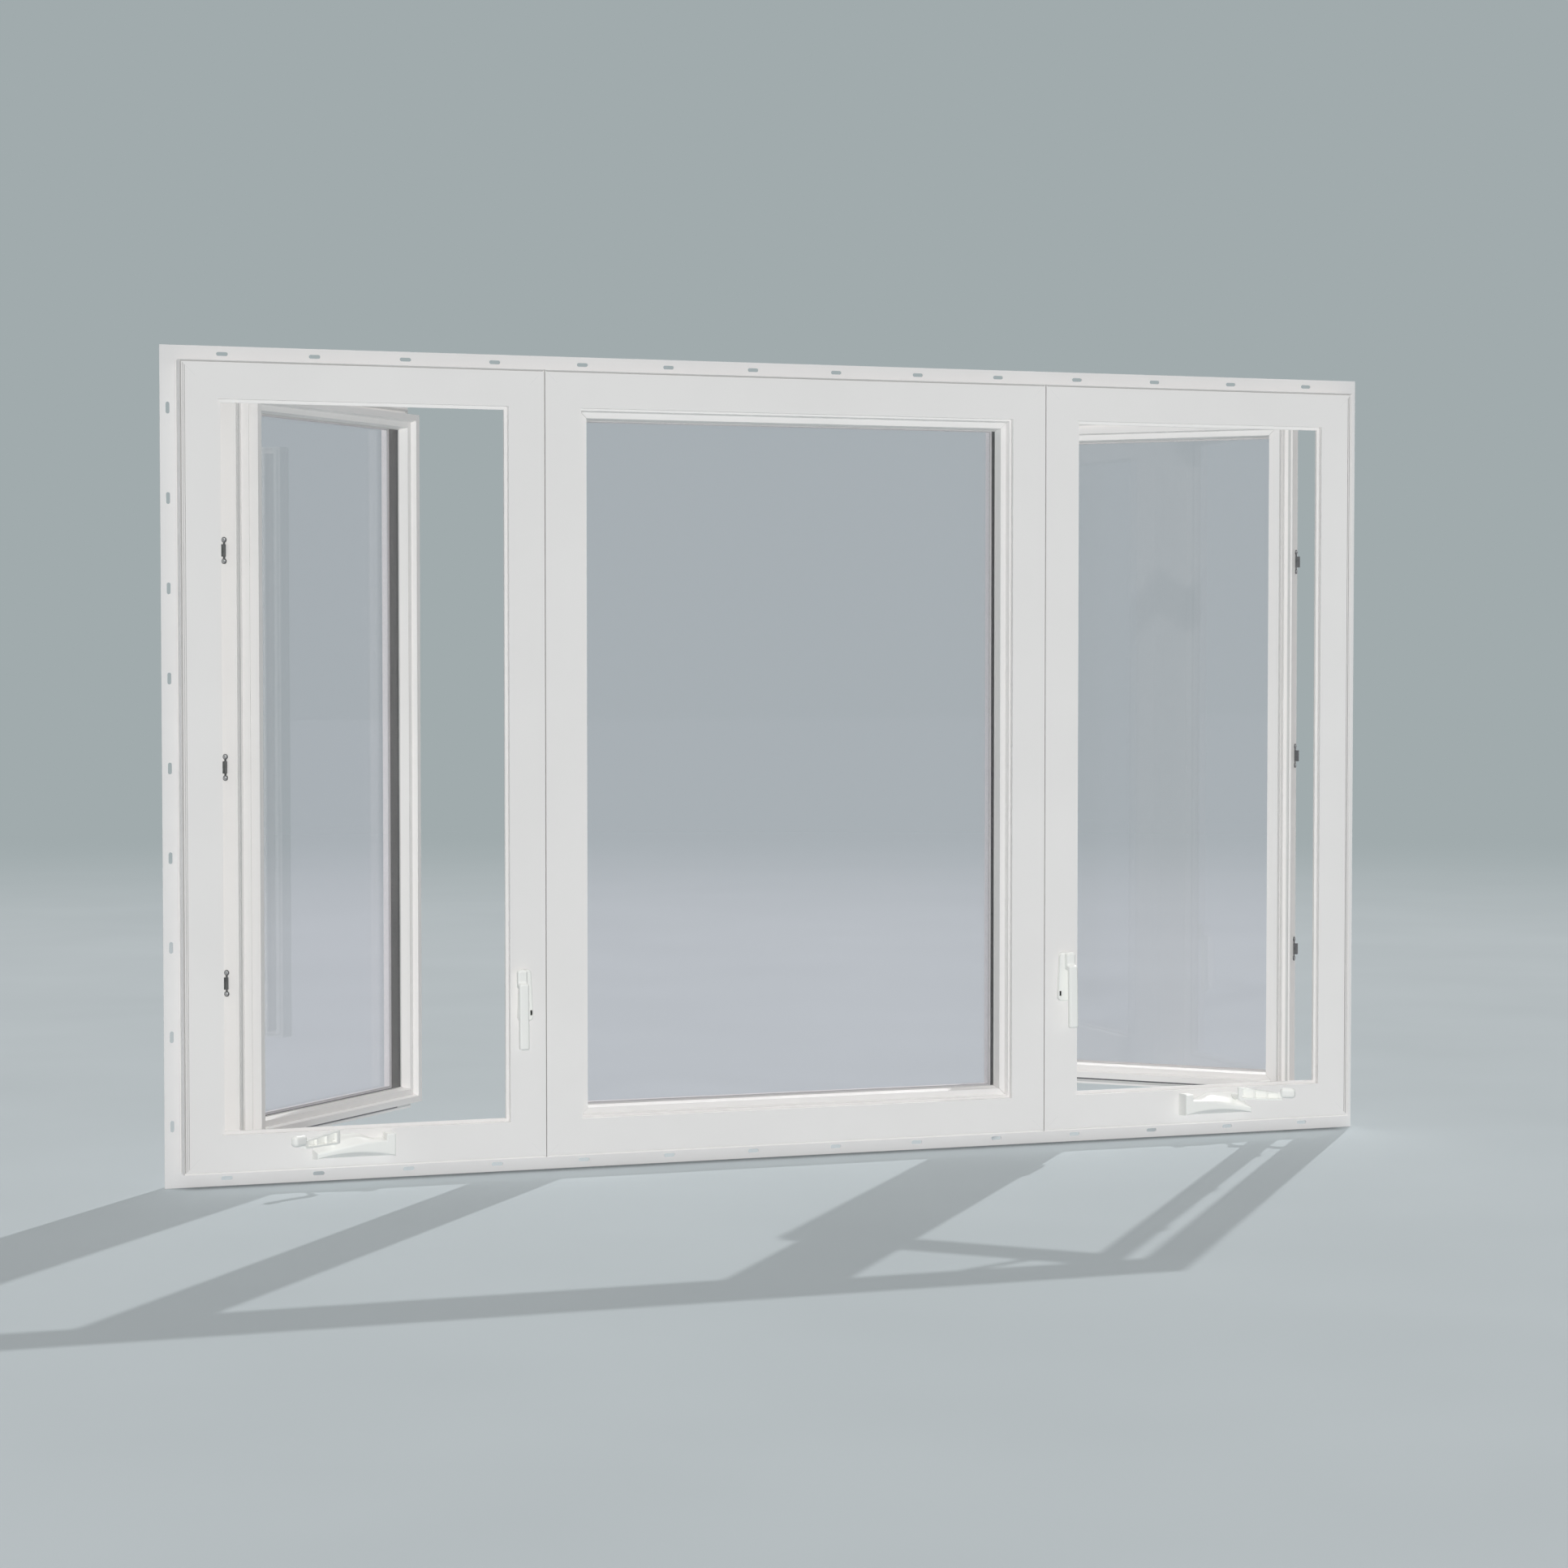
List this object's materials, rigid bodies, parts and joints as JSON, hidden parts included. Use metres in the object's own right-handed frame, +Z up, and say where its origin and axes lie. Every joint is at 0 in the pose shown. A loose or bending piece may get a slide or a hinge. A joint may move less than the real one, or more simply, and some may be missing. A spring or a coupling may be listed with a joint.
{
  "type": "triple casement window",
  "caption": "Mulled vinyl window: a fixed picture unit between two crank-out casements that stand open, with a slotted nail fin all round.",
  "frame": {"origin": "middle of the width, on the indoor face of the nail fin, on the bottom row of slots", "axes": "+X to the right seen from indoors, +Y outdoors, +Z up"},
  "size_m": [2.1844, 0.5407, 1.3716],
  "materials": {
    "vinyl": "satin",
    "fin": "satin",
    "glass": "clear",
    "spacer": "matte",
    "steel": "brushed",
    "track": "satin",
    "hardware": "gloss"
  },
  "bodies": {
    "root": {"centre_glass": "glass", "centre_glazing_beads": "vinyl", "centre_head": "vinyl", "centre_left_jamb": "vinyl", "centre_right_jamb": "vinyl", "centre_sill": "vinyl", "centre_spacer": "spacer", "fin_bottom": "fin", "fin_left": "fin", "fin_right": "fin", "fin_top": "fin", "left_crank_handle": "hardware", "left_head": "vinyl", "left_head_hinge": "steel", "left_inner_jamb": "vinyl", "left_lock_escutcheon": "hardware", "left_lock_lever": "hardware", "left_operator_arm": "steel", "left_operator_cover": "hardware", "left_operator_track": "track", "left_outer_jamb": "vinyl", "left_sash_bottom_rail": "vinyl", "left_sash_glass": "glass", "left_sash_glazing_beads": "vinyl", "left_sash_hinge_stile": "vinyl", "left_sash_lock_stile": "vinyl", "left_sash_spacer": "spacer", "left_sash_top_rail": "vinyl", "left_sill": "vinyl", "left_sill_hinge": "steel", "left_snubbers": "steel", "right_crank_handle": "hardware", "right_head": "vinyl", "right_head_hinge": "steel", "right_inner_jamb": "vinyl", "right_lock_escutcheon": "hardware", "right_lock_lever": "hardware", "right_operator_arm": "steel", "right_operator_cover": "hardware", "right_operator_track": "track", "right_outer_jamb": "vinyl", "right_sash_bottom_rail": "vinyl", "right_sash_glass": "glass", "right_sash_glazing_beads": "vinyl", "right_sash_hinge_stile": "vinyl", "right_sash_lock_stile": "vinyl", "right_sash_spacer": "spacer", "right_sash_top_rail": "vinyl", "right_sill": "vinyl", "right_sill_hinge": "steel", "right_snubbers": "steel"}
  },
  "joints": []
}
